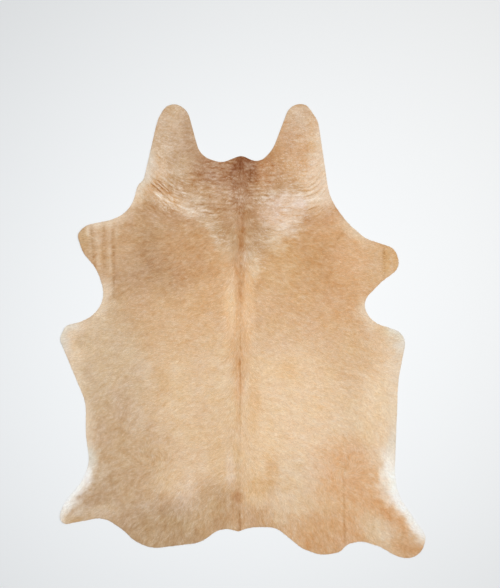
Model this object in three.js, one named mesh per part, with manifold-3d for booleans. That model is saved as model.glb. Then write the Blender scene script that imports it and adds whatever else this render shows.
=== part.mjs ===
// Cowhide rug: one whole skin tanned with its hair on, trimmed and laid flat with the hair up.
// Millimetres, +Z up. The neck points along +Y, the tail along -Y, and the animal's back runs
// along the middle. The underside lies on z = 0, and the origin is the middle of the rug's box
// on that plane.
import * as THREE from 'three';
import { mergeVertices } from 'three/addons/utils/BufferGeometryUtils.js';
import Module from 'manifold-3d';

const wasm = await Module();
wasm.setup();

// ---------- driving dimensions ----------
const LEATHER = 2.3;         // tanned skin at the back
const HAIR = 2.4;            // short hair, lying flat, on top of it
const BELLY_THINNER = 1.3;   // how much thinner skin and hair are at the belly and the legs
const HALF_WIDTH = 900;      // from the backbone to the belly edge, where it is that much thinner
const EDGE_STEP = 1.1;       // upright part of the trimmed edge
const EDGE_ROLL = 13;        // width over which the hair rounds down to the edge
const EDGE_RISE = 7;         // how far that round climbs, above everything the hair reaches
const EDGE_RINGS = 3;        // rings of facets in the round
const SAGITTA = 0.8;         // how far a facet of the outline may cut inside its arc
const DEEP = 8;              // how far the blanks reach below the ground before they are cut
const CLOSEST = 3;           // outline points nearer than this to the last one are dropped

// ---------- outline ----------
// Corners of the trimmed skin, anticlockwise from the nape, each rounded with its own radius r.
// A corner that turns left is a lobe, one that turns right is a bay.
const OUTLINE = [
  { at: 'nape, left hollow', x: -103, y: 837, r: 86 },
  { at: 'left ear flap, inner root', x: -211, y: 873, r: 100 },
  { at: 'left ear flap, tip, inner', x: -274, y: 1105, r: 92 },
  { at: 'left ear flap, tip, outer', x: -365, y: 1147, r: 65 },
  { at: 'left ear flap, outer side', x: -422, y: 1061, r: 179 },
  { at: 'left neck, foot', x: -493, y: 756, r: 54 },
  { at: 'left neck, notch', x: -525, y: 723, r: 50 },
  { at: 'left shoulder', x: -558, y: 593, r: 154 },
  { at: 'left foreleg, front', x: -655, y: 555, r: 149 },
  { at: 'left foreleg, tip, front', x: -788, y: 526, r: 103 },
  { at: 'left foreleg, tip, rear', x: -825, y: 478, r: 40 },
  { at: 'left foreleg, rear', x: -798, y: 390, r: 147 },
  { at: 'left armpit, front', x: -726, y: 306, r: 197 },
  { at: 'left armpit', x: -676, y: 151, r: 137 },
  { at: 'left armpit, rear', x: -772, y: 55, r: 179 },
  { at: 'left belly lobe, front', x: -884, y: 28, r: 52 },
  { at: 'left belly lobe, rear', x: -913, y: -41, r: 50 },
  { at: 'left belly', x: -782, y: -356, r: 205 },
  { at: 'left flank', x: -782, y: -518, r: 248 },
  { at: 'left flank, rear', x: -762, y: -660, r: 179 },
  { at: 'left hind leg, knee', x: -808, y: -760, r: 146 },
  { at: 'left hind leg, front', x: -884, y: -842, r: 233 },
  { at: 'left hind leg, tip, front', x: -912, y: -917, r: 48 },
  { at: 'left hind leg, tip, rear', x: -905, y: -968, r: 35 },
  { at: 'left hind leg, back', x: -691, y: -927, r: 120 },
  { at: 'left rump, hollow', x: -584, y: -1001, r: 224 },
  { at: 'left rump, corner', x: -546, y: -1042, r: 142 },
  { at: 'left rump, outer', x: -457, y: -1085, r: 162 },
  { at: 'left rump, inner', x: -199, y: -1054, r: 170 },
  { at: 'left of the tail', x: -111, y: -976, r: 117 },
  { at: 'tail stub', x: -20, y: -1000, r: 0 },
  { at: 'right of the tail', x: 32, y: -977, r: 247 },
  { at: 'right rump, hollow', x: 166, y: -978, r: 127 },
  { at: 'right rump, inner', x: 290, y: -1080, r: 161 },
  { at: 'right rump', x: 389, y: -1121, r: 164 },
  { at: 'right rump, outer', x: 488, y: -1102, r: 60 },
  { at: 'right rump, notch', x: 521, y: -1062, r: 70 },
  { at: 'right hind leg, back', x: 593, y: -1047, r: 108 },
  { at: 'right hind leg, under', x: 682, y: -1074, r: 123 },
  { at: 'right hind leg, heel', x: 773, y: -1129, r: 160 },
  { at: 'right hind leg, tip, rear', x: 882, y: -1136, r: 87 },
  { at: 'right hind leg, tip, front', x: 917, y: -1023, r: 71 },
  { at: 'right hind leg, front', x: 772, y: -816, r: 239 },
  { at: 'right flank, rear', x: 758, y: -698, r: 348 },
  { at: 'right belly', x: 775, y: -250, r: 593 },
  { at: 'right belly lobe', x: 820, y: -14, r: 77 },
  { at: 'right armpit, rear', x: 635, y: 48, r: 121 },
  { at: 'right armpit', x: 597, y: 147, r: 73 },
  { at: 'right foreleg, rear', x: 694, y: 246, r: 182 },
  { at: 'right foreleg, tip, rear', x: 786, y: 313, r: 69 },
  { at: 'right foreleg, tip, front', x: 762, y: 410, r: 71 },
  { at: 'right shoulder, front of leg', x: 610, y: 462, r: 149 },
  { at: 'right shoulder', x: 523, y: 538, r: 310 },
  { at: 'right neck, foot', x: 433, y: 658, r: 282 },
  { at: 'right ear flap, outer side', x: 376, y: 1048, r: 144 },
  { at: 'right ear flap, tip, outer', x: 313, y: 1135, r: 56 },
  { at: 'right ear flap, tip, inner', x: 233, y: 1125, r: 76 },
  { at: 'right ear flap, inner root', x: 148, y: 903, r: 164 },
  { at: 'nape, right hollow', x: 79, y: 834, r: 62 },
  { at: 'nape', x: -6, y: 878, r: 57 },
];

// ---------- growth wrinkles of the neck ----------
// Troughs across the neck. Each runs level near the backbone and sweeps up towards the neck's
// edge along the collar line. "level" is its height in y near the backbone, from and to are the
// x range, depth is how far the hair sinks in.
const WRINKLE_HALF = 8;      // half width of a trough
const WRINKLES = [
  { at: 'left, lowest', level: 585, from: -500, to: -270, depth: 1.5 },
  { at: 'left, second', level: 606, from: -490, to: -250, depth: 1.2 },
  { at: 'left, third', level: 626, from: -485, to: -290, depth: 1.4 },
  { at: 'left, fourth', level: 647, from: -480, to: -250, depth: 1.5 },
  { at: 'left, fifth', level: 675, from: -450, to: -230, depth: 1.0 },
  { at: 'left, sixth', level: 703, from: -440, to: -190, depth: 1.1 },
  { at: 'middle, low', level: 632, from: -250, to: 20, depth: 0.9 },
  { at: 'middle, high', level: 704, from: -180, to: 30, depth: 0.9 },
  { at: 'nape', level: 768, from: -190, to: -20, depth: 0.9 },
  { at: 'right, lowest', level: 556, from: 230, to: 400, depth: 1.2 },
  { at: 'right, second', level: 605, from: 120, to: 420, depth: 1.3 },
  { at: 'right, third', level: 643, from: 60, to: 420, depth: 1.0 },
  { at: 'right, fourth', level: 675, from: 180, to: 430, depth: 1.4 },
  { at: 'right, fifth', level: 697, from: 230, to: 425, depth: 1.2 },
  { at: 'right, sixth', level: 724, from: 240, to: 410, depth: 1.2 },
];
// The collar line: level as far out as "flat", then climbing as the square of the distance.
const COLLAR = {
  left: { flat: 240, climb: 0.0027 },
  right: { flat: 290, climb: 0.0055 },
  highest: 165,              // it climbs no further than this
  fades: { from: 350, to: 540 },   // y range over which the shoulder takes over from the neck
};

// ---------- creases ----------
// Straight soft troughs from one end to the other, w wide in all, depth deep.
const CREASES = [
  { at: 'left foreleg, near its tip', x1: -789, y1: 520, x2: -786, y2: 400, w: 16, depth: 1.1 },
  { at: 'left foreleg, second', x1: -735, y1: 542, x2: -737, y2: 340, w: 18, depth: 1.3 },
  { at: 'left foreleg, third', x1: -690, y1: 545, x2: -692, y2: 300, w: 16, depth: 1.2 },
  { at: 'left foreleg, fourth', x1: -640, y1: 540, x2: -648, y2: 330, w: 20, depth: 1.2 },
  { at: 'left foreleg, fifth', x1: -612, y1: 520, x2: -618, y2: 360, w: 16, depth: 0.9 },
  { at: 'right foreleg', x1: 703, y1: 422, x2: 706, y2: 285, w: 16, depth: 1.3 },
  { at: 'right rump', x1: 509, y1: -870, x2: 512, y2: -1060, w: 20, depth: 0.8 },
  { at: 'backbone, shoulders', x1: -8, y1: 850, x2: -12, y2: 120, w: 26, depth: 0.9 },
  { at: 'backbone, loin', x1: -12, y1: 120, x2: -16, y2: -990, w: 22, depth: 0.7 },
];

// ---------- corners that stand a little off the ground ----------
const LIFTS = [
  { at: 'left foreleg tip', x: -840, y: 500, reach: 150, height: 4 },
  { at: 'right foreleg tip', x: 820, y: 360, reach: 150, height: 4 },
  { at: 'left belly lobe', x: -930, y: -10, reach: 140, height: 3 },
  { at: 'right belly lobe', x: 840, y: -10, reach: 120, height: 3 },
  { at: 'left hind leg tip', x: -940, y: -960, reach: 150, height: 4 },
  { at: 'right hind leg tip', x: 940, y: -1120, reach: 150, height: 4 },
  { at: 'left ear flap tip', x: -330, y: 1180, reach: 140, height: 3 },
  { at: 'right ear flap tip', x: 290, y: 1180, reach: 140, height: 3 },
];

// ---------- grids of facets: up to "to", each "step" wide ----------
// The hair side is fine across the legs' creases, the backbone and the neck's wrinkles.
const HAIR_COLUMNS = { start: -960, bands: [
  { to: -820, step: 47 }, { to: -600, step: 12.3 }, { to: -42, step: 50 }, { to: 18, step: 12 },
  { to: 504, step: 44 }, { to: 524, step: 10 }, { to: 695, step: 57 }, { to: 719, step: 8 },
  { to: 960, step: 48 },
] };
const HAIR_ROWS = { start: -1190, bands: [
  { to: -830, step: 45 }, { to: 190, step: 102 }, { to: 540, step: 50 }, { to: 740, step: 6.25 },
  { to: 790, step: 12.5 }, { to: 1190, step: 50 },
] };
// The flesh side is flat but for the lifted corners.
const FLESH_COLUMNS = { start: -990, bands: [
  { to: -690, step: 50 }, { to: -480, step: 210 }, { to: -200, step: 70 }, { to: 130, step: 330 },
  { to: 430, step: 75 }, { to: 660, step: 230 }, { to: 990, step: 55 },
] };
const FLESH_ROWS = { start: -1220, bands: [
  { to: -780, step: 49 }, { to: -180, step: 300 }, { to: 600, step: 52 }, { to: 1000, step: 400 },
  { to: 1220, step: 55 },
] };

// ---------- functions of the form ----------
const smooth = t => { const c = Math.min(1, Math.max(0, t)); return c * c * (3 - 2 * c); };
const bell = t => (Math.abs(t) >= 1 ? 0 : (1 + Math.cos(Math.PI * t)) / 2);

// How far the collar line through (x, y) has climbed above its level by the backbone.
function collarClimb(x) {
  const side = x < 0 ? COLLAR.left : COLLAR.right;
  const out = Math.max(0, Math.abs(x) - side.flat);
  return Math.min(COLLAR.highest, side.climb * out * out);
}
const collarShare = level => smooth((level - COLLAR.fades.from) / (COLLAR.fades.to - COLLAR.fades.from));

function liftAt(x, y) {
  let z = 0;
  for (const l of LIFTS) {
    const near = 1 - Math.hypot(x - l.x, y - l.y) / l.reach;
    if (near > 0) z += l.height * near * near * (3 - 2 * near);
  }
  return z;
}

function thicknessAt(x) {
  const out = Math.min(1, Math.abs(x) / HALF_WIDTH);
  return LEATHER + HAIR - BELLY_THINNER * out * out;
}

// level is the row's own height in y, before the collar line bends it
function reliefAt(x, y, level) {
  let z = 0;
  for (const w of WRINKLES) {
    const ends = smooth((x - w.from) / 60) * smooth((w.to - x) / 60);
    z -= w.depth * ends * bell((level - w.level) / WRINKLE_HALF);
  }
  for (const c of CREASES) {
    const dx = c.x2 - c.x1, dy = c.y2 - c.y1, long = Math.hypot(dx, dy);
    const along = ((x - c.x1) * dx + (y - c.y1) * dy) / long;
    const across = ((x - c.x1) * dy - (y - c.y1) * dx) / long;
    const ends = smooth((along + 20) / 50) * smooth((long + 20 - along) / 50);
    z -= c.depth * ends * bell(across / (c.w / 2));
  }
  return z;
}

// Rounded outline, from the corner table.
function roundedOutline(corners) {
  const at = i => corners[(i + corners.length) % corners.length];
  const joints = corners.map((c, i) => {
    const into = new THREE.Vector2(c.x - at(i - 1).x, c.y - at(i - 1).y).normalize();
    const out = new THREE.Vector2(at(i + 1).x - c.x, at(i + 1).y - c.y).normalize();
    const turn = Math.atan2(into.cross(out), into.dot(out));
    const reach = c.r * Math.tan(Math.abs(turn) / 2);
    const start = new THREE.Vector2(c.x, c.y).addScaledVector(into, -reach);
    const side = Math.sign(turn);
    const centre = new THREE.Vector2(start.x - into.y * side * c.r, start.y + into.x * side * c.r);
    return { ...c, turn, start, centre };
  });
  const points = [];
  const add = (x, y) => {
    const last = points[points.length - 1];
    if (!last || Math.hypot(x - last.x, y - last.y) > CLOSEST) points.push(new THREE.Vector2(x, y));
  };
  for (const j of joints) {
    add(j.start.x, j.start.y);
    const a0 = Math.atan2(j.start.y - j.centre.y, j.start.x - j.centre.x);
    const facets = Math.ceil(Math.abs(j.turn) * Math.sqrt(j.r / (8 * SAGITTA)));
    for (let k = 1; k <= facets; k++) {
      const a = a0 + j.turn * k / facets;
      add(j.centre.x + j.r * Math.cos(a), j.centre.y + j.r * Math.sin(a));
    }
  }
  return new THREE.Shape(points);
}

// The trimmed skin, taller than the rug, with its rounded edge following the lifted corners.
function trimmedBlank() {
  const g = new THREE.ExtrudeGeometry(roundedOutline(OUTLINE), {
    depth: DEEP + EDGE_STEP, steps: 1, curveSegments: 1,
    bevelEnabled: true, bevelThickness: EDGE_RISE, bevelSize: EDGE_ROLL, bevelOffset: -EDGE_ROLL,
    bevelSegments: EDGE_RINGS,
  });
  const p = g.attributes.position;
  for (let i = 0; i < p.count; i++) {
    // the lower bevel is unrolled, so the underside is cut square
    const z = p.getZ(i) < 0 ? -DEEP : p.getZ(i) - DEEP;
    p.setZ(i, z + liftAt(p.getX(i), p.getY(i)));
  }
  return g;
}

function ticks({ start, bands }) {
  const list = [start];
  for (const b of bands) {
    const from = list[list.length - 1];
    const n = Math.max(1, Math.round((b.to - from) / b.step));
    for (let k = 1; k <= n; k++) list.push(from + (b.to - from) * k / n);
  }
  return list;
}

// A block on a box's grid, with its top or its bottom given by a height function.
function griddedBlock({ start: x0, bands: xBands }, { start: y0, bands: yBands }, place) {
  const xs = ticks({ start: x0, bands: xBands }), levels = ticks({ start: y0, bands: yBands });
  const g = new THREE.BoxGeometry(1, 1, 1, xs.length - 1, levels.length - 1, 1);
  const p = g.attributes.position;
  for (let i = 0; i < p.count; i++) {
    const x = xs[Math.round((p.getX(i) + 0.5) * (xs.length - 1))];
    const level = levels[Math.round((p.getY(i) + 0.5) * (levels.length - 1))];
    p.setXYZ(i, ...place(x, level, p.getZ(i) > 0));
  }
  return g;
}

// Everything below the top of the hair.
function belowHair() {
  return griddedBlock(HAIR_COLUMNS, HAIR_ROWS, (x, level, top) => {
    const y = level + collarClimb(x) * collarShare(level);
    return [x, y, top ? liftAt(x, y) + thicknessAt(x) + reliefAt(x, y, level) : -DEEP];
  });
}

// Everything below the flesh side: the ground, and the air under the lifted corners.
function ground() {
  return griddedBlock(FLESH_COLUMNS, FLESH_ROWS, (x, y, top) => [x, y, top ? liftAt(x, y) : -2 * DEEP]);
}

function toSolid(geometry) {
  const g = geometry.clone();
  g.deleteAttribute('normal');
  g.deleteAttribute('uv');
  const merged = mergeVertices(g, 1e-4);
  return new wasm.Manifold(new wasm.Mesh({
    numProp: 3,
    vertProperties: new Float32Array(merged.attributes.position.array),
    triVerts: new Uint32Array(merged.index.array),
  }));
}

function toGeometry(solid) {
  const mesh = solid.getMesh();
  const g = new THREE.BufferGeometry();
  g.setAttribute('position', new THREE.BufferAttribute(new Float32Array(mesh.vertProperties), 3));
  g.setIndex(new THREE.BufferAttribute(new Uint32Array(mesh.triVerts), 1));
  g.computeVertexNormals();
  return g;
}

const hideSolid = toSolid(trimmedBlank()).intersect(toSolid(belowHair())).subtract(toSolid(ground()));

const hide = new THREE.Mesh(
  toGeometry(hideSolid),
  new THREE.MeshStandardMaterial({ color: 0xd2ac7d, roughness: 0.75, metalness: 0 }),
);
hide.name = 'hide';

const rug = new THREE.Group();
rug.add(hide);

export default rug;
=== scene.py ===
"""The cowhide rug's looks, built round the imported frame.

One tanned skin lies flat on the floor with its hair up: a closed thin sheet with the neck's
growth wrinkles and the legs' creases, and on it four joined meshes of short flat locks of hair,
combed the way the hair grows and coloured zone by zone. Tables are in millimetres, in the
frame's own axes: the neck points along +Y and the backbone runs near x = 0.
"""
import math

import bpy
import numpy as np
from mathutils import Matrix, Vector
from mathutils.geometry import delaunay_2d_cdt


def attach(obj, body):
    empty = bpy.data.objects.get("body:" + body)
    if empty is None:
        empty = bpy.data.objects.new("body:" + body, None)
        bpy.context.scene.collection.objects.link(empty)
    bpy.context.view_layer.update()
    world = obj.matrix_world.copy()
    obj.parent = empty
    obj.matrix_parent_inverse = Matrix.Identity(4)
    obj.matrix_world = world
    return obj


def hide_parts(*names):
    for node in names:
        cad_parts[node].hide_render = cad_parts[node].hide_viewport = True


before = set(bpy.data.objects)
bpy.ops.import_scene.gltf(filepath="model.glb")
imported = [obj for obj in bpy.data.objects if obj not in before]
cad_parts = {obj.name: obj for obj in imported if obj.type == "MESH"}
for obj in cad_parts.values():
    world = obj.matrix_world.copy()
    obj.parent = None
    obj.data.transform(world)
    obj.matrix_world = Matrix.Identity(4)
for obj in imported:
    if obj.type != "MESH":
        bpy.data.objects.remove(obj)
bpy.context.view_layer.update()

MM = 0.001

# ---------------------------------------------------------------- the skin's shape
# Corners of the trimmed skin, anticlockwise from the nape: x, y and the radius of the round.
OUTLINE = [
    ("nape, left hollow", -103, 837, 86),
    ("left ear flap, inner root", -211, 873, 100),
    ("left ear flap, tip, inner", -274, 1105, 92),
    ("left ear flap, tip, outer", -365, 1147, 65),
    ("left ear flap, outer side", -422, 1061, 179),
    ("left neck, foot", -493, 756, 54),
    ("left neck, notch", -525, 723, 50),
    ("left shoulder", -558, 593, 154),
    ("left foreleg, front", -655, 555, 149),
    ("left foreleg, tip, front", -788, 526, 103),
    ("left foreleg, tip, rear", -825, 478, 40),
    ("left foreleg, rear", -798, 390, 147),
    ("left armpit, front", -726, 306, 197),
    ("left armpit", -676, 151, 137),
    ("left armpit, rear", -772, 55, 179),
    ("left belly lobe, front", -884, 28, 52),
    ("left belly lobe, rear", -913, -41, 50),
    ("left belly", -782, -356, 205),
    ("left flank", -782, -518, 248),
    ("left flank, rear", -762, -660, 179),
    ("left hind leg, knee", -808, -760, 146),
    ("left hind leg, front", -884, -842, 233),
    ("left hind leg, tip, front", -912, -917, 48),
    ("left hind leg, tip, rear", -905, -968, 35),
    ("left hind leg, back", -691, -927, 120),
    ("left rump, hollow", -584, -1001, 224),
    ("left rump, corner", -546, -1042, 142),
    ("left rump, outer", -457, -1085, 162),
    ("left rump, inner", -199, -1054, 170),
    ("left of the tail", -111, -976, 117),
    ("tail stub", -20, -1000, 0),
    ("right of the tail", 32, -977, 247),
    ("right rump, hollow", 166, -978, 127),
    ("right rump, inner", 290, -1080, 161),
    ("right rump", 389, -1121, 164),
    ("right rump, outer", 488, -1102, 60),
    ("right rump, notch", 521, -1062, 70),
    ("right hind leg, back", 593, -1047, 108),
    ("right hind leg, under", 682, -1074, 123),
    ("right hind leg, heel", 773, -1129, 160),
    ("right hind leg, tip, rear", 882, -1136, 87),
    ("right hind leg, tip, front", 917, -1023, 71),
    ("right hind leg, front", 772, -816, 239),
    ("right flank, rear", 758, -698, 348),
    ("right belly", 775, -250, 593),
    ("right belly lobe", 820, -14, 77),
    ("right armpit, rear", 635, 48, 121),
    ("right armpit", 597, 147, 73),
    ("right foreleg, rear", 694, 246, 182),
    ("right foreleg, tip, rear", 786, 313, 69),
    ("right foreleg, tip, front", 762, 410, 71),
    ("right shoulder, front of leg", 610, 462, 149),
    ("right shoulder", 523, 538, 310),
    ("right neck, foot", 433, 658, 282),
    ("right ear flap, outer side", 376, 1048, 144),
    ("right ear flap, tip, outer", 313, 1135, 56),
    ("right ear flap, tip, inner", 233, 1125, 76),
    ("right ear flap, inner root", 148, 903, 164),
    ("nape, right hollow", 79, 834, 62),
    ("nape", -6, 878, 57),
]
OUTLINE_STEP = 4.0          # between points along the cut edge
KNIFE = 0.5                 # how far the knife wandered off the line
CUT_IN = 1.2                # the leather is this much smaller all round than the rug
OVERHANG = 2.2              # how far hair that points outwards reaches past the rug's outline

LEATHER = 2.1               # skin at the back
BELLY_THINNER = 0.7         # thinner by this at the belly and the legs
HALF_WIDTH = 900

# Growth wrinkles of the neck: level near the backbone, x range, depth.
WRINKLE_HALF = 8
WRINKLES = [
    ("left, lowest", 585, -500, -330, 0.6),
    ("left, third", 626, -485, -330, 0.6),
    ("left, fifth", 675, -450, -230, 0.6),
    ("left, sixth", 703, -440, -190, 0.7),
    ("middle, low", 632, -250, 20, 0.7),
    ("middle, high", 704, -180, 30, 0.7),
    ("nape", 768, -190, -20, 0.7),
    ("right, lowest", 556, 230, 400, 0.6),
    ("right, third", 643, 60, 380, 0.6),
    ("right, fifth", 697, 180, 380, 0.6),
    ("right, sixth", 744, 160, 380, 0.6),
]
# The collar line climbs towards the neck's edge: side, flat out to, climb, highest.
COLLAR_LEFT = (240, 0.0027)
COLLAR_RIGHT = (290, 0.0055)
COLLAR_HIGHEST = 165
COLLAR_FADES = (350, 540)

# Creases as soft troughs and, with a negative depth, ridges: the places they run through, width
# in all, depth, and how much of its white hair the coat lacks in them, which also sets painted
# shade in a trough and painted light on a ridge.
CREASES = [
    ("left foreleg, tip crease", ((-799, 512), (-792, 438)), 12, 0.7, 0.3),
    ("left foreleg, first crease", ((-752, 532), (-746, 430), (-738, 300)), 11, 1.3, 0.5),
    ("left foreleg, second crease", ((-693, 547), (-692, 420), (-686, 260)), 11, 1.3, 0.44),
    ("left foreleg, third crease", ((-645, 552), (-645, 393), (-641, 150)), 12, 1.3, 0.6),
    ("left foreleg, fourth crease", ((-608, 492), (-610, 224)), 12, 0.6, 0.12),
    ("left foreleg, tip ridge", ((-772, 522), (-767, 463)), 15, -0.5, -0.4),
    ("left foreleg, first ridge", ((-727, 547), (-722, 430), (-712, 290)), 24, -0.6, -0.34),
    ("left foreleg, second ridge", ((-661, 557), (-661, 420), (-658, 250)), 15, -0.7, -0.22),
    ("left foreleg, third ridge", ((-625, 547), (-625, 413)), 14, -0.4, -0.18),
    ("right foreleg, crease", ((704, 422), (705, 260)), 9, 1.3, 0.7),
    ("right shoulder, crease", ((465, 449), (489, 477), (512, 519)), 9, 0.9, 0.4),
    ("right rump, crease", ((503, -737), (505, -900), (507, -1062)), 9, 0.9, 0.36),
    ("right rump, foot of the crease", ((507, -950), (511, -1066)), 15, 0.4, 0.24),
    ("right rump, second crease", ((274, -850), (277, -1045)), 8, 0.4, 0.28),
    ("right hind leg, ridge", ((765, -1060), (778, -1015), (798, -976)), 14, -0.4, -0.2),
    ("right hind leg, crease", ((783, -1070), (793, -1025), (813, -985)), 10, 0.4, 0.14),
    ("left bundle, first trough", ((-459, 739), (-421, 704), (-391, 676), (-362, 657)), 9, 1.5, 0.8),
    ("left bundle, second trough", ((-441, 744), (-406, 714), (-372, 684)), 9, 1.4, 0.75),
    ("left bundle, third trough", ((-419, 741), (-389, 716), (-357, 691)), 8, 1.2, 0.6),
    ("left bundle, fourth trough", ((-464, 771), (-426, 751), (-386, 729)), 7, 0.8, 0.4),
    ("left bundle, first ridge", ((-451, 741), (-411, 706), (-377, 674)), 7, -0.9, -0.5),
    ("left bundle, second ridge", ((-429, 741), (-396, 716), (-364, 689)), 7, -0.9, -0.45),
    ("left bundle, third ridge", ((-469, 761), (-421, 734), (-372, 706), (-327, 686)), 8, -0.7, -0.26),
    ("left bundle, brown foot", ((-404, 672), (-384, 664), (-364, 662)), 12, 0.5, 0.5),
    ("left bundle, low pale line", ((-452, 700), (-430, 682), (-406, 663)), 7, -0.4, -0.4),
    ("left arm, stray pale lock", ((-166, 418), (-134, 404), (-102, 389)), 6, 0, -0.3),
    ("left arm, second pale lock", ((-158, 404), (-122, 392)), 6, 0, -0.24),
    ("left collar, outer ridge", ((-471, 714), (-436, 689), (-401, 664), (-347, 632), (-297, 612)), 13, -1, -0.34),
    ("left collar, outer trough", ((-386, 637), (-342, 614), (-282, 594)), 9, 0.8, 0.16),
    ("left collar, inner trough", ((-377, 654), (-332, 642), (-272, 627)), 8, 0.8, 0.22),
    ("left collar, inner ridge", ((-357, 667), (-307, 649), (-252, 632)), 9, -0.7, -0.26),
    ("left collar, upper trough", ((-352, 689), (-307, 672), (-262, 657)), 8, 0.7, 0.2),
    ("left collar, upper ridge", ((-337, 704), (-292, 686), (-242, 669)), 8, -0.6, -0.2),
    ("left neck, dark fold", ((-212, 662), (-182, 652), (-148, 657)), 11, 0.6, 0.34),
    ("left neck, second fold", ((-232, 634), (-197, 627), (-168, 632)), 9, 0.5, 0.24),
    ("right bundle, first ridge", ((270, 716), (310, 721), (340, 736), (390, 783)), 8, -0.9, -0.34),
    ("right bundle, second ridge", ((280, 701), (330, 709), (360, 726), (397, 764)), 8, -0.9, -0.34),
    ("right bundle, third ridge", ((290, 686), (340, 692), (375, 711), (410, 746)), 8, -0.8, -0.3),
    ("right bundle, first trough", ((275, 709), (325, 715), (355, 734), (392, 774)), 7, 1, 0.34),
    ("right bundle, second trough", ((285, 694), (335, 701), (367, 719), (402, 754)), 7, 1, 0.32),
    ("right bundle, third trough", ((315, 672), (350, 681), (390, 704)), 9, 1, 0.36),
    ("right neck, long ridge", ((2, 685), (96, 684), (191, 678), (300, 677), (345, 688)), 6, -0.6, -0.24),
    ("right neck, long trough", ((96, 675), (191, 670), (300, 669)), 6, 0.4, 0.12),
    ("right collar, white ridge", ((290, 654), (345, 656), (410, 664)), 14, -0.9, -0.36),
    ("right collar, first trough", ((300, 635), (350, 635), (405, 649)), 8, 1, 0.34),
    ("right collar, first ridge", ((310, 618), (360, 624), (410, 639)), 8, -0.8, -0.2),
    ("right collar, second trough", ((300, 593), (345, 609), (395, 629)), 9, 1, 0.34),
    ("right collar, second ridge", ((280, 552), (325, 574), (370, 591), (425, 609)), 9, -0.9, -0.24),
    ("right collar, third trough", ((295, 542), (340, 565), (390, 584)), 8, 0.8, 0.2),
    ("nape, parting", ((-16, 863), (-14, 836), (-11, 800), (-16, 770), (-12, 748)), 9, 0.7, 0.16),
    ("nape, right fold", ((35, 821), (38, 791), (37, 751)), 10, 0.7, 0.3),
    ("nape, lower border", ((-63, 739), (-28, 733), (7, 744)), 10, 0.5, 0.24),
    ("nape, fan left", ((-68, 761), (-43, 749), (-23, 739)), 8, 0.4, 0.22),
    ("nape, fan right", ((24, 761), (44, 741), (69, 719)), 9, 0.6, 0.34),
    ("nape, fan far right", ((41, 771), (61, 759), (81, 741)), 8, 0.5, 0.24),
    ("nape, left strand", ((-123, 771), (-93, 783), (-58, 781)), 8, 0.5, 0.2),
    ("nape, left low strand", ((-108, 746), (-78, 751), (-53, 759)), 8, 0.5, 0.2),
    ("withers, parting", ((-1, 607), (0, 552), (-5, 463), (-7, 363)), 20, 0.6, 0.2),
    ("withers, left line", ((-24, 582), (-21, 532), (-21, 487)), 7, 0.4, 0.2),
    ("withers, fold", ((-23, 505), (2, 490), (22, 507)), 12, 0.3, 0.18),
    ("backbone, shoulder line", ((-8, 363), (-10, 254), (-11, 139)), 17, 0.4, 0.2),
    ("backbone, ribs line", ((-10, 25), (-13, -105)), 7, 0.5, 0.4),
    ("backbone, middle line", ((-13, -125), (-11, -204), (-12, -284)), 9, 0.6, 0.55),
    ("backbone, loin line", ((-12, -274), (-13, -344), (-13, -413)), 7, 0.5, 0.42),
    ("backbone, hip line", ((-10, -403), (-11, -493), (-12, -592)), 6, 0.4, 0.18),
    ("backbone, rump line", ((-17, -582), (-19, -662), (-21, -742)), 6, 0.4, 0.15),
    ("tail, parting", ((-18, -891), (-15, -946), (-12, -1010)), 9, 0.8, 0.62),
    ("tail, left fold", ((-177, -881), (-103, -884), (-33, -871)), 11, 0.3, 0.14),
]
# Corners that stand a little off the floor: x, y, reach, height.
LIFTS = [
    ("left foreleg tip", -840, 500, 150, 4),
    ("right foreleg tip", 820, 360, 150, 4),
    ("left belly lobe", -930, -10, 140, 3),
    ("right belly lobe", 840, -10, 120, 3),
    ("left hind leg tip", -940, -960, 150, 4),
    ("right hind leg tip", 940, -1120, 150, 4),
    ("left ear flap tip", -330, 1180, 140, 3),
    ("right ear flap tip", 290, 1180, 140, 3),
]
# Where fine wrinkles run along the collar line: x, y, half sizes, strength.
FINE_WRINKLES = [
    ("left neck", -390, 690, 140, 150, 1.0),
    ("left flap's root", -320, 860, 130, 120, 0.7),
    ("left flap", -340, 990, 110, 140, 0.4),
    ("right neck", 330, 710, 130, 150, 1.0),
    ("right flap's root", 285, 860, 120, 120, 0.7),
    ("right flap", 285, 990, 110, 140, 0.4),
    ("whole neck", -20, 690, 430, 210, 0.8),
    ("withers", -20, 560, 230, 150, 0.6),
    ("right arm of the V", 215, 545, 160, 120, 0.9),
    ("left arm of the V", -180, 550, 140, 120, 0.8),
]
FINE_DEEP = 0.7             # how far a fine wrinkle of strength 1 rises or sinks

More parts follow.
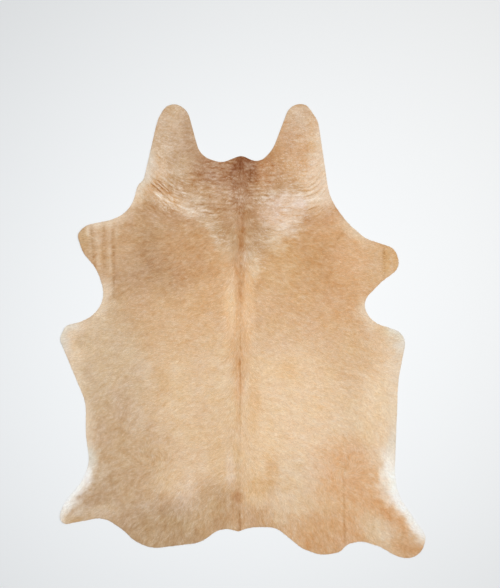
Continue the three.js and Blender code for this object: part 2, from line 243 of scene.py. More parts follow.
# ---------------------------------------------------------------- how the hair lies
# Named places and the direction the hair points there, in degrees from +X, anticlockwise,
# with how far that holds. Between places the directions mix.
LIES = [
    ("left flap, tip", -340, 1080, -150, 110),
    ("left flap", -350, 960, -165, 110),
    ("left neck, edge", -440, 760, 150, 90),
    ("left neck", -300, 700, 172, 130),
    ("left neck, inner", -120, 700, 182, 120),
    ("nape, left", -110, 800, -160, 80),
    ("left collar", -380, 640, 150, 90),
    ("left arm of the V", -160, 540, -160, 100),
    ("left shoulder", -420, 420, -160, 170),
    ("left foreleg", -700, 440, -172, 140),
    ("left chest", -520, 180, -166, 170),
    ("left ribs", -250, 100, -166, 170),
    ("left belly lobe", -820, -20, -165, 120),
    ("left side", -300, -250, -170, 220),
    ("left belly", -650, -300, -152, 180),
    ("left flank", -700, -560, -128, 130),
    ("left loin", -230, -560, -162, 180),
    ("left hip", -500, -800, -140, 150),
    ("left hind leg", -800, -900, -150, 130),
    ("left rump", -350, -960, -115, 150),
    ("left of the tail", -120, -930, -98, 90),
    ("right flap, tip", 280, 1080, -30, 110),
    ("right flap", 300, 960, -15, 110),
    ("right neck, edge", 390, 720, 20, 100),
    ("right neck", 270, 680, 6, 130),
    ("right neck, inner", 110, 700, -4, 120),
    ("nape, right", 90, 800, -22, 80),
    ("right arm of the V", 150, 540, -20, 100),
    ("right shoulder", 380, 430, -22, 170),
    ("right foreleg", 690, 340, -8, 140),
    ("right chest", 440, 170, -14, 170),
    ("right ribs", 220, 100, -14, 170),
    ("right belly lobe", 760, -20, -18, 110),
    ("right side", 300, -250, -10, 220),
    ("right belly", 620, -250, -36, 180),
    ("right flank", 650, -520, -55, 150),
    ("right loin", 230, -560, -18, 180),
    ("right hip", 560, -820, -42, 140),
    ("right hind leg", 790, -1010, -38, 150),
    ("right rump", 380, -980, -65, 150),
    ("right of the tail", 90, -920, -85, 90),
]
# Whorls of the flanks: x, y, reach, turn of the hair away from straight out, in degrees.
WHORLS = [
    ("left flank's whorl", -451, -622, 95, -55),
    ("right flank's whorl", 509, -697, 95, 55),
]

# ---------------------------------------------------------------- the coat's colours
# Tones of the hair, as they look under the studio light, in sRGB steps of 255.
TONES = {
    "white": (247, 243, 239), "ivory": (224, 214, 200), "bone": (230, 210, 187),
    "pale cream": (230, 202, 170), "cream": (222, 193, 160), "wheat": (228, 192, 153),
    "straw": (211, 184, 153), "sand": (214, 178, 140), "honey": (218, 173, 130),
    "apricot": (211, 168, 125), "gold": (203, 159, 114), "fawn": (205, 168, 130),
    "ash": (204, 176, 145), "clay": (197, 162, 125), "dun": (191, 159, 127),
    "umber": (188, 150, 113), "chestnut": (179, 138, 103), "bay": (151, 103, 68),
    "russet": (191, 144, 102),
}
# Soft patches, each painted over the ones before: x, y, half sizes, turn in degrees, tone,
# share of the tone in the middle, and how soft the border is (1 fades over the half size).
COAT = [
    # the left half is darker and cooler than the right: partly the coat's own tone, partly painted shade on the side
    # away from the key light
    ("left side", -710, -345, 350, 845, 0, "ash", 0.95, 1.0),
    ("right side", 435, -495, 545, 845, 0, "cream", 0.95, 1.0),
    ("middle", -140, -345, 350, 595, 0, "cream", 0.8, 1.0),
    ("right loin", 245, -470, 250, 475, 0, "pale cream", 0.85, 1.0),
    ("left loin", -270, -495, 170, 425, 0, "cream", 0.7, 1.0),
    ("shoulders", -15, 345, 745, 310, 0, "apricot", 0.95, 0.8),
    ("left chest", -570, 205, 260, 240, 0, "clay", 0.9, 1.0),
    ("left ribs", -310, 105, 260, 230, 0, "sand", 0.7, 1.0),
    ("right chest", 435, 180, 310, 230, 0, "apricot", 0.9, 1.0),
    ("right ribs", 210, 105, 225, 200, 0, "sand", 0.7, 1.0),
    ("left shoulder", -435, 455, 275, 240, 0, "umber", 0.95, 1.0),
    ("left shoulder, inner", -230, 440, 170, 170, 0, "gold", 0.7, 1.0),
    ("left shoulder, top", -450, 590, 120, 90, -30, "clay", 0.8, 1.0),
    ("right shoulder", 345, 415, 310, 220, 20, "gold", 0.95, 1.0),
    ("right shoulder, top", 395, 560, 150, 100, -25, "apricot", 0.9, 1.0),
    ("right foreleg", 675, 355, 170, 150, 0, "sand", 0.9, 1.0),
    ("right foreleg, root", 545, 345, 90, 120, 0, "honey", 0.5, 1.0),
    ("left foreleg", -720, 435, 180, 170, 0, "fawn", 0.9, 1.0),
    ("left foreleg, tip", -800, 455, 60, 100, 0, "clay", 0.6, 1.0),
    ("neck", -5, 725, 545, 225, 0, "clay", 1.0, 0.7),
    ("left neck flap", -340, 990, 130, 230, 0, "ash", 1.0, 0.8),
    ("left flap, tip", -350, 1090, 90, 100, 0, "straw", 0.8, 1.0),
    ("left flap, outer side", -420, 950, 50, 170, 8, "straw", 0.7, 1.0),
    ("left flap, inner side", -250, 950, 45, 150, 12, "dun", 0.7, 1.0),
    ("right neck flap", 280, 975, 130, 240, 0, "sand", 1.0, 0.8),
    ("right flap, tip", 280, 1090, 80, 90, 0, "straw", 0.7, 1.0),
    ("right flap, outer side", 370, 925, 45, 180, 0, "cream", 0.7, 1.0),
    ("right flap, inner side", 195, 910, 50, 140, -20, "fawn", 0.7, 1.0),
    ("left neck, outer", -460, 790, 70, 110, 0, "cream", 0.8, 1.0),
    ("right neck, outer", 375, 725, 80, 130, 0, "pale cream", 0.8, 1.0),
    ("left collar, tan", -410, 690, 80, 40, -38, "gold", 0.8, 1.0),
    ("left collar, white", -330, 635, 120, 30, -28, "cream", 0.8, 1.0),
    ("left arm of the V", -185, 580, 130, 45, -42, "ash", 0.8, 1.0),
    ("left arm, foot", -105, 455, 100, 40, -62, "ash", 0.7, 1.0),
    ("right collar, white", 310, 645, 130, 30, 4, "bone", 0.8, 1.0),
    ("right arm of the V", 205, 600, 130, 80, 20, "cream", 0.8, 1.0),
    ("right arm, middle", 145, 505, 100, 60, 45, "cream", 0.9, 1.0),
    ("right arm, foot", 55, 345, 30, 90, 0, "cream", 0.8, 1.0),
    ("nape, left", -125, 797, 125, 85, 0, "chestnut", 0.86, 1.0),
    ("nape, right", 95, 798, 100, 85, 0, "russet", 0.8, 1.0),
    ("nape", 16, 820, 56, 100, 0, "bay", 0.85, 0.9),
    ("nape, heart", -8, 776, 46, 60, 0, "bay", 1.0, 0.6),
    ("nape, foot", 0, 700, 75, 100, 0, "chestnut", 0.85, 1.0),
    ("withers", 15, 470, 130, 120, -40, "umber", 0.85, 1.0),
    ("withers, left", -105, 590, 70, 60, 0, "umber", 0.5, 1.0),
    ("left of the backbone", -65, 115, 35, 200, 0, "wheat", 0.8, 1.0),
    ("right of the backbone", 30, 95, 30, 200, 0, "wheat", 0.8, 1.0),
    ("left of the withers", -85, 315, 40, 130, 0, "sand", 0.6, 1.0),
    ("left belly lobe", -840, -35, 100, 110, 0, "pale cream", 0.9, 1.0),
    ("left belly lobe, spot", -790, -50, 45, 45, 0, "ash", 0.8, 1.0),
    ("left flank", -670, -95, 140, 200, 0, "straw", 0.8, 1.0),
    ("left hip", -620, -630, 250, 240, 0, "clay", 0.6, 1.0),
    ("left hip, low", -750, -800, 150, 120, 30, "dun", 0.72, 1.0),
    ("left thigh, pale", -690, -900, 90, 40, 10, "straw", 0.7, 1.0),
    ("left rump, pale", -290, -780, 90, 130, 0, "cream", 0.9, 1.0),
    ("left rump", -385, -990, 280, 140, 0, "dun", 1.0, 1.0),
    ("left of the tail", -135, -900, 120, 130, 0, "clay", 0.9, 1.0),
    ("right of the tail", 95, -940, 150, 80, 0, "fawn", 1.0, 0.9),
    ("right rump, cream", 245, -800, 155, 160, 0, "cream", 0.95, 1.0),
    ("right hip", 545, -740, 200, 180, -40, "honey", 0.78, 1.0),
    ("right rump", 410, -1030, 190, 120, 0, "apricot", 0.9, 1.0),
    ("right rump, crease", 535, -990, 90, 90, 0, "honey", 0.6, 1.0),
    ("right thigh", 735, -920, 150, 80, -40, "honey", 0.9, 1.0),
    ("right thigh, pale", 670, -980, 90, 60, -25, "cream", 0.9, 1.0),
    ("right hind foot", 835, -1070, 100, 70, -35, "apricot", 0.9, 1.0),
    ("right flank", 685, -360, 100, 310, 0, "pale cream", 0.95, 1.0),
    ("right belly", 545, -95, 150, 150, 0, "sand", 0.6, 1.0),
]
# Pale bands along the cut edge: x, y, half sizes of the stretch, width of the band, tone, share.
PALE_EDGES = [
    ("left flank, upper", -790, -490, 70, 140, 75, "bone", 0.72),
    ("left flank", -755, -640, 70, 65, 80, "ivory", 1.0),
    ("left flank, low", -765, -740, 60, 60, 85, "white", 1.0),
    ("left thigh", -840, -820, 80, 90, 84, "white", 1.0),
    ("left leg", -900, -900, 50, 50, 50, "white", 0.8),
    ("left belly lobe", -880, -25, 80, 90, 75, "ivory", 0.9),
    ("left belly", -830, -200, 70, 140, 75, "bone", 0.72),
    ("left armpit", -670, 140, 90, 130, 90, "bone", 0.8),
    ("left foreleg", -670, 555, 140, 55, 65, "bone", 0.75),
    ("left neck, notch", -520, 655, 65, 75, 75, "bone", 0.95),
    ("left neck", -475, 800, 60, 120, 75, "ivory", 0.8),
    ("right flank, upper", 775, -580, 70, 110, 80, "ivory", 0.9),
    ("right flank", 745, -740, 110, 150, 130, "white", 1.0),
    ("right flank, cream rim", 748, -622, 50, 60, 60, "bone", 0.42),
    ("right thigh", 790, -850, 80, 60, 60, "white", 1.0),
    ("right leg, upper", 815, -915, 55, 55, 75, "white", 0.95),
    ("right leg", 890, -970, 80, 80, 105, "white", 1.0),
    ("right belly lobe", 775, -35, 70, 90, 90, "ivory", 1.0),
    ("right belly", 775, -330, 90, 230, 115, "bone", 0.75),
    ("right armpit", 605, 60, 80, 90, 80, "bone", 0.8),
    ("right neck", 405, 800, 60, 230, 65, "bone", 0.8),
    ("right shoulder", 550, 500, 110, 80, 75, "bone", 0.7),
]
# Marks laid over the patches: x, y, half sizes, turn, share of white hair more or less, and how
# much more golden the tone is, in sRGB steps of blue taken out.
MARKS = [
    ("left rump, inner pale", -240, -915, 90, 60, 0, 0.14, 1),
    ("tail head, dark spot", -22, -829, 32, 28, 0, -0.24, -1),
    ("left rump, golden", -380, -1000, 200, 90, 0, 0, 4),
    ("left of the tail, golden", -165, -915, 90, 90, 0, -0.04, 1),
    ("left leg, tan", -845, -835, 35, 40, 0, -0.16, 0),
    ("right arm, cool frost", 200, 590, 115, 95, 0, 0.02, -6),
    ("right rump, inner tan", 131, -780, 45, 60, 0, -0.13, 0),
    ("left belly lobe, tan rim", -885, -90, 40, 70, 0, -0.16, -3),
    ("right collar, white block", 280, 636, 34, 30, 0, 0.2, -2),
    ("left hip, soft spot", -536, -468, 55, 55, 0, 0.12, 0),
    ("withers, left pale", -48, 420, 22, 75, 0, 0.16, 2),
    ("left shoulder, outer pale", -590, 335, 80, 50, 0, 0.12, 0),
    ("left foreleg, hem", -680, 512, 100, 40, 0, 0.12, 0),
    ("right shoulder, foot", 300, 245, 90, 110, 0, 0.06, 2),
    ("right rump, cream top", 295, -690, 160, 85, 0, 0.12, -1),
    ("right flap, pale", 275, 1010, 55, 80, 0, 0.12, -1),
    ("right shoulder, inner golden", 165, 320, 100, 150, 0, 0.14, 3),
    ("loin", 10, -570, 240, 210, 0, -0.12, 0),
    ("right side, golden", 330, -270, 230, 160, 0, -0.09, 1),
    ("left foreleg, pale tip", -785, 460, 45, 60, 0, 0.14, 0),
    ("nape, right tan", 121, 736, 50, 35, 0, 0.12, 0),
    ("right flap, inner side", 155, 885, 40, 45, -30, -0.14, 0),
    ("right flap, dark band", 355, 925, 40, 10, 0, -0.22, 1.8),
    ("right arm, frost", 245, 520, 60, 50, 0, 0.12, 1),
    ("right arm, outer foot", 178, 412, 38, 38, 0, 0.2, 0),
    ("middle, brown right", 20, 625, 20, 50, 0, -0.12, 1.2),
    ("withers, brown left", -95, 505, 45, 25, 0, -0.14, 1.2),
    ("left of the ribs, pale", -55, 145, 20, 130, 0, 0.16, 1.2),
    ("right belly lobe, spot", 710, -10, 20, 20, 0, -0.12, 2.4),
    ("left side, tan", -405, -265, 45, 100, 0, -0.24, 0),
    ("right side, tan", 220, -195, 50, 65, 0, -0.22, 1.2),
    ("right of the backbone, tan", 57, -350, 30, 140, 0, -0.34, 1),
    ("left rump, pale foot", -280, -830, 60, 90, 0, 0.07, -1.8),
    ("left hip, edge", -695, -700, 45, 45, 0, 0.2, 0),
    ("right loin, tan", 140, -690, 30, 70, 0, -0.34, 0),
    ("right of the tail head, tan", 75, -770, 55, 50, 0, -0.26, 1.2),
    ("tail head, brown", -20, -795, 55, 60, 0, -0.15, 0),
    ("left of the rump, pale strip", -60, -690, 20, 100, 3, 0.2, -3),
    ("left leg, brown tip", -850, -935, 45, 20, 0, -0.3, 2.4),
    ("left leg, pale foot spot", -715, -890, 40, 25, 0, 0.16, 0),
    ("right thigh, orange", 725, -895, 75, 45, -35, -0.1, 2),
    ("right thigh, pale spot", 705, -990, 60, 40, -20, 0.16, 0),
    ("left foreleg, golden tip", -790, 465, 30, 55, 0, -0.08, 4.8),
    ("right foreleg, golden tip", 720, 350, 20, 70, 0, -0.1, 4.2),
    ("right foreleg, golden rim", 765, 345, 15, 60, 0, -0.1, 4.2),
]
# The stripe of the backbone, from the nape to the tail: y, its x, half width, tone, share.
BACKBONE = [
    (860, -8, 30, "bay", 0.3),
    (650, -8, 25, "chestnut", 0.4),
    (525, -6, 28, "russet", 0.6),
    (430, -8, 22, "russet", 0.75),
    (330, -10, 18, "gold", 0.75),
    (205, -12, 16, "apricot", 0.8),
    (120, -12, 18, "honey", 0.6),
    (30, -25, 44, "honey", 0.5),
    (-60, -24, 54, "apricot", 0.7),
    (-130, -20, 50, "apricot", 0.85),
    (-200, -12, 40, "apricot", 0.85),
    (-300, -20, 22, "honey", 0.8),
    (-395, -16, 16, "sand", 0.6),
    (-545, -18, 12, "cream", 0.5),
    (-740, -23, 14, "straw", 0.4),
    (-825, -23, 22, "russet", 0.5),
    (-900, -21, 15, "clay", 0.3),
    (-1000, -18, 10, "chestnut", 0.4),
]
# Frost, where the neck's coat is mixed with white hair: x, y, half sizes, turn, share in the middle.
ROAN = [
    ("left neck, outer", -455, 780, 60, 90, 20, 0.19),
    ("left flap, outer", -400, 950, 45, 150, 0, 0.17),
    ("left flap", -335, 1060, 90, 110, 0, 0.11),
    ("left neck", -330, 740, 140, 90, 0, 0.12),
    ("left collar, white", -340, 630, 120, 38, -25, 0.34),
    ("left collar, inner", -255, 665, 70, 45, -10, 0.19),
    ("left arm", -190, 560, 80, 45, -40, 0.20),
    ("left arm, foot", -120, 500, 85, 40, -58, 0.22),
    ("middle", -25, 665, 60, 70, 0, 0.17),
    ("nape, left", -110, 735, 110, 105, 0, 0.07),
    ("right flap, outer", 345, 950, 50, 180, 0, 0.20),
    ("right flap", 275, 1035, 90, 130, 0, 0.13),
    ("right neck, outer", 375, 760, 70, 120, 0, 0.17),
    ("right neck", 210, 780, 140, 110, 0, 0.12),
    ("right neck, white", 130, 670, 60, 42, 0, 0.32),
    ("right collar, white", 255, 650, 90, 45, 0, 0.30),
    ("right arm", 185, 555, 120, 78, 12, 0.25),
    ("right arm, middle", 115, 450, 70, 60, 45, 0.20),
    ("right arm, foot", 55, 355, 55, 85, 0, 0.24),
]
WHITE_HAIR = (240, 230, 218)
LIGHTER = (1.020, 1.026, 1.018)   # the tones are how the coat looks; its hair is this much lighter

# ---------------------------------------------------------------- sizes of the meshes
SKIN_STEP = 8.0             # between points of the skin's top
NECK_STEP = 5.0             # the same in the wrinkled neck
FLESH_STEP = 22.0           # between points of its underside
LOCKS_A_PIECE = 49000       # four triangles each, so a piece stays under 200,000
LOCK_LONG = 17.0
LOCK_WIDE = 3.3
LOCK_HIGH = 0.6
LOCK_VARIES = 7.0           # how much lighter or darker one lock is than its neighbours, in sRGB steps
NECK_LOCK = 0.52            # share of that length in the neck


# ---------------------------------------------------------------- small tools
def smooth(t):
    t = np.clip(t, 0, 1)
    return t * t * (3 - 2 * t)


def bell(t):
    return np.where(np.abs(t) < 1, (1 + np.cos(np.pi * np.clip(t, -1, 1))) / 2, 0)


def noise(x, y, size_x, size_y, seed):
    """Smooth random numbers from -1 to 1, with features size_x by size_y wide."""
    table = np.random.default_rng(seed).uniform(-1, 1, (257, 257))
    u, v = x / size_x + 1000.37, y / size_y + 1000.71
    i, j = np.floor(u).astype(int), np.floor(v).astype(int)
    fu, fv = smooth(u - i), smooth(v - j)
    i0, j0, i1, j1 = i % 257, j % 257, (i + 1) % 257, (j + 1) % 257
    low = table[j0, i0] * (1 - fu) + table[j0, i1] * fu
    high = table[j1, i0] * (1 - fu) + table[j1, i1] * fu
    return low * (1 - fv) + high * fv


def in_patch(x, y, cx, cy, rx, ry, turn, soft):
    """1 inside an ellipse, falling to 0 across its soft border."""
    c, s = math.cos(math.radians(turn)), math.sin(math.radians(turn))
    u, v = (x - cx) * c + (y - cy) * s, (y - cy) * c - (x - cx) * s
    q = np.hypot(u / rx, v / ry)
    return smooth((1 + soft / 2 - q) / soft)


def linear(rgb):
    c = np.asarray(rgb, float) / 255
    return np.where(c <= 0.04045, c / 12.92, ((c + 0.055) / 1.055) ** 2.4)


# ---------------------------------------------------------------- outline and distance to it
def rounded_outline():
    corners = [Vector((x, y)) for _, x, y, _ in OUTLINE]
    points = []
    n = len(corners)
    for i, (_, x, y, r) in enumerate(OUTLINE):
        into = (corners[i] - corners[i - 1]).normalized()
        out = (corners[(i + 1) % n] - corners[i]).normalized()
        turn = math.atan2(into.x * out.y - into.y * out.x, into.dot(out))
        side = math.copysign(1, turn)
        start = corners[i] - into * (r * math.tan(abs(turn) / 2))
        centre = Vector((start.x - into.y * side * r, start.y + into.x * side * r))
        a0 = math.atan2(start.y - centre.y, start.x - centre.x)
        steps = max(1, math.ceil(abs(turn) * r / OUTLINE_STEP)) if r else 0
        points.append((start.x, start.y))
        for k in range(1, steps + 1):
            a = a0 + turn * k / steps
            points.append((centre.x + r * math.cos(a), centre.y + r * math.sin(a)))
    return evenly(np.array(points), OUTLINE_STEP)


def evenly(points, step):
    """The closed line through the points again, with its points about step apart."""
    closed = np.vstack([points, points[:1]])
    along = np.concatenate([[0], np.cumsum(np.linalg.norm(np.diff(closed, axis=0), axis=1))])
    at = np.linspace(0, along[-1], round(along[-1] / step), endpoint=False)
    return np.stack([np.interp(at, along, closed[:, k]) for k in (0, 1)], 1)


def inset(points, by):
    """The closed line moved to its left by a distance, which on this outline is inwards."""
    ahead = np.roll(points, -1, 0) - np.roll(points, 1, 0)
    ahead /= np.linalg.norm(ahead, axis=1)[:, None]
    return points + np.reshape(by, (-1, 1)) * np.stack([-ahead[:, 1], ahead[:, 0]], 1)


outline = rounded_outline()
wander = noise(outline[:, 0], outline[:, 1], 47, 47, 11) + 0.5 * noise(outline[:, 0], outline[:, 1], 17, 17, 12)
outline = inset(outline, 0.4 + KNIFE * wander)

GRID = 4.0
FAR = 96.0
GRID_LOW = np.array([-1010.0, -1230.0])
GRID_COUNT = (506, 616)
grid_x = GRID_LOW[0] + GRID * np.arange(GRID_COUNT[0])
grid_y = GRID_LOW[1] + GRID * np.arange(GRID_COUNT[1])
grid = np.meshgrid(grid_x, grid_y)


def distance_grid():
    """Distance to the outline, positive inside, no further than FAR."""
    gx, gy = grid
    least = np.full(gx.shape, FAR)
    a, b = outline, np.roll(outline, -1, 0)
    for (ax, ay), (bx, by) in zip(a, b):
        i0, j0 = ((np.minimum((ax, ay), (bx, by)) - FAR - GRID_LOW) / GRID).astype(int).clip(0)
        i1, j1 = ((np.maximum((ax, ay), (bx, by)) + FAR - GRID_LOW) / GRID).astype(int) + 2
        px, py = gx[j0:j1, i0:i1] - ax, gy[j0:j1, i0:i1] - ay
        dx, dy = bx - ax, by - ay
        t = np.clip((px * dx + py * dy) / (dx * dx + dy * dy), 0, 1)
        least[j0:j1, i0:i1] = np.minimum(least[j0:j1, i0:i1], np.hypot(px - t * dx, py - t * dy))
    inside = np.zeros(gx.shape, bool)
    for (ax, ay), (bx, by) in zip(a, b):
        if ay == by:
            continue
        rows = (grid_y > min(ay, by)) & (grid_y <= max(ay, by))
        cross = ax + (grid_y[rows] - ay) * (bx - ax) / (by - ay)
        inside[rows] ^= grid_x[None, :] > cross[:, None]
    return np.where(inside, least, -least)


def sample(field, x, y):
    """A field on the grid, read between its points."""
    u = np.clip((x - GRID_LOW[0]) / GRID, 0, GRID_COUNT[0] - 1.001)
    v = np.clip((y - GRID_LOW[1]) / GRID, 0, GRID_COUNT[1] - 1.001)
    i, j = u.astype(int), v.astype(int)
    fu, fv = u - i, v - j
    if field.ndim == 3:
        fu, fv = fu[:, None], fv[:, None]
    low = field[j, i] * (1 - fu) + field[j, i + 1] * fu
    high = field[j + 1, i] * (1 - fu) + field[j + 1, i + 1] * fu
    return low * (1 - fv) + high * fv


inward = distance_grid()


# ---------------------------------------------------------------- heights
def collar_climb(x):
    left = COLLAR_LEFT[1] * np.maximum(0, -x - COLLAR_LEFT[0]) ** 2
    right = COLLAR_RIGHT[1] * np.maximum(0, x - COLLAR_RIGHT[0]) ** 2
    return np.minimum(COLLAR_HIGHEST, np.where(x < 0, left, right))


def collar_level(x, y):
    """The level whose collar line runs through (x, y)."""
    climb = collar_climb(x)
    low, high = y - COLLAR_HIGHEST, y + 0.0
    for _ in range(16):
        middle = (low + high) / 2
        at = middle + climb * smooth((middle - COLLAR_FADES[0]) / (COLLAR_FADES[1] - COLLAR_FADES[0])) \
            * (1 - 0.8 * smooth((middle - 640) / 460))
        low, high = np.where(at < y, middle, low), np.where(at < y, high, middle)
    return (low + high) / 2


def lift(x, y):
    z = np.zeros(np.shape(x))
    for _, cx, cy, reach, height in LIFTS:
        near = np.maximum(0, 1 - np.hypot(x - cx, y - cy) / reach)
        z += height * near * near * (3 - 2 * near)
    return z


def thinner(x):
    return np.minimum(1, np.abs(x) / HALF_WIDTH) ** 2


def crease_parts(x, y):
    """Depth of the creases, and how much white hair is missing in them, which also sets their painted shade and light.
    """
    depth_here, bare_and_shade_here = np.zeros(np.shape(x)), np.zeros(np.shape(x))
    sway_x, sway_y = 2.2 * noise(x, y, 55, 55, 23), 2.2 * noise(x, y, 55, 55, 29)
    for _, through, width, depth, bare_and_shade in CREASES:
        at = np.array(through, float)
        low, high = at.min(0) - width - 4, at.max(0) + width + 4
        near = np.flatnonzero((x > low[0]) & (x < high[0]) & (y > low[1]) & (y < high[1]))
        if not len(near):
            continue
        px, py = x[near] + sway_x[near], y[near] + sway_y[near]
        least, run = np.full(len(near), 1e9), np.zeros(len(near))
        total = 0.0
        for (ax, ay), (bx, by) in zip(at[:-1], at[1:]):
            dx, dy = bx - ax, by - ay
            long = math.hypot(dx, dy)
            t = np.clip(((px - ax) * dx + (py - ay) * dy) / long ** 2, 0, 1)
            away = np.hypot(px - ax - t * dx, py - ay - t * dy)
            closer = away < least
            least[closer], run[closer] = away[closer], total + t[closer] * long
            total += long
        fade = min(0.3 * total, 30)
        ends = smooth(0.15 + run / fade) * smooth(0.15 + (total - run) / fade)
        shape = ends * bell(least / (width * 0.75))
        depth_here[near] += depth * shape
        bare_and_shade_here[near] += bare_and_shade * shape
    return depth_here, bare_and_shade_here * (0.9 + 0.6 * noise(x, y, 24, 24, 35))


def relief_parts(x, y):
    """Troughs of the neck's wrinkles and the creases, as depths, the white hair missing in the creases
    with their painted shade and light, and the fine wrinkles, up and down."""
    level = collar_level(x, y) + 3.5 * noise(x, y, 60, 40, 21) + 1.6 * noise(x, y, 22, 16, 22)
    troughs = np.zeros(np.shape(x))
    for _, at, x0, x1, depth in WRINKLES:
        ends = smooth((x - x0) / 60) * smooth((x1 - x) / 60)
        troughs += depth * ends * bell((level - at) / WRINKLE_HALF)
    creases, bare_and_shade = crease_parts(x, y)
    where = np.zeros(np.shape(x))
    for _, cx, cy, rx, ry, strength in FINE_WRINKLES:
        where = np.maximum(where, strength * in_patch(x, y, cx, cy, rx, ry, 0, 0.8))
    where = where * (0.75 + 0.45 * noise(x, y, 55, 45, 28) + 0.22 * noise(x, y, 14, 10, 30))
    # thin furrows where slow noise passes zero, with the fur between them standing a little
    furrows = np.exp(-(noise(x, level, 62, 15, 33) / 0.22) ** 2)
    fine = where * (0.30 - 0.8 * furrows + 1.0 * noise(x, level, 27, 6.8, 24) + 0.85 * noise(x, level, 12, 5.3, 25))
    return troughs, creases, bare_and_shade, fine


def skin_top(x, y):
    troughs, creases, _, fine = relief_parts(x, y)
    swell = 0.5 * noise(x, y, 190, 150, 26) + 0.15 * noise(x, y, 70, 60, 27)
    z = LEATHER - BELLY_THINNER * thinner(x) - 0.75 * troughs - 0.8 * creases + FINE_DEEP * fine + 0.5 + swell
    return lift(x, y) + np.maximum(z, 0.8)


# ---------------------------------------------------------------- direction of the hair
def backbone_at(y):
    rows = BACKBONE[::-1]
    return np.interp(y, [r[0] for r in rows], [r[1] for r in rows])


def lie_of_hair(x, y):
    """Unit vector along which the hair points, at each place."""
    total = np.zeros(x.shape + (2,))
    weight = np.full(x.shape, 1e-9)
    for _, cx, cy, angle, reach in LIES:
        w = np.exp(-((x - cx) ** 2 + (y - cy) ** 2) / (2 * reach ** 2)) + 1e-7
        a = math.radians(angle)
        total += w[..., None] * (math.cos(a), math.sin(a))
        weight += w
    total /= weight[..., None]
    # along the backbone it points to the tail
    near = np.exp(-((x - backbone_at(y)) / np.where(y > 480, 26, 40)) ** 2)[..., None]
    total = total * (1 - near) + near * (0, -1)
    # in the wrinkled neck it lies along the wrinkles
    slope = np.where(x < 0, 2 * COLLAR_LEFT[1] * np.maximum(0, -x - COLLAR_LEFT[0]),
                     2 * COLLAR_RIGHT[1] * np.maximum(0, x - COLLAR_RIGHT[0])) * smooth((1100 - y) / 400)
    along = np.stack([np.where(x < 0, -1.0, 1.0), np.minimum(slope, 1.2)], -1)
    along /= np.linalg.norm(along, axis=-1)[..., None]
    near = (0.7 * smooth((y - 540) / 100) * smooth((np.abs(x - backbone_at(y)) - 20) / 60))[..., None]
    total = total * (1 - near) + near * along
    for _, cx, cy, reach, turn in WHORLS:
        dx, dy = x - cx, y - cy
        r = np.hypot(dx, dy) + 1e-6
        c, s = math.cos(math.radians(turn)), math.sin(math.radians(turn))
        out = np.stack([(dx * c - dy * s) / r, (dx * s + dy * c) / r], -1)
        near = np.exp(-((r / reach) ** 2))[..., None]
        total = total * (1 - near) + near * out
    angle = np.arctan2(total[..., 1], total[..., 0])
    angle += 0.20 * noise(x, y, 90, 90, 31) + 0.16 * noise(x, y, 34, 34, 32)
    return np.stack([np.cos(angle), np.sin(angle)], -1)


lie = lie_of_hair(*grid)


def combed(x, y, size, long, seed, wavy=0.0):
    """Noise drawn out along the hair: size across it, long along it, and how far its locks swing."""
    way = sample(lie, x, y)
    if wavy:
        swing = wavy * noise(x, y, 28, 28, seed + 200)
        c, s = np.cos(swing), np.sin(swing)
        way = np.stack([way[:, 0] * c - way[:, 1] * s, way[:, 0] * s + way[:, 1] * c], 1)
    steps = np.linspace(-long / 2, long / 2, 5)
    drawn = sum(noise(x + t * way[:, 0], y + t * way[:, 1], size, size, seed) for t in steps)
    return drawn / len(steps) ** 0.5


# ---------------------------------------------------------------- colour of the coat
def whiter(colour, share):
    """The coat with a share of white hair mixed in, or with some of its white hair gone."""
    return colour + share[:, None] * (np.array(WHITE_HAIR) - colour)


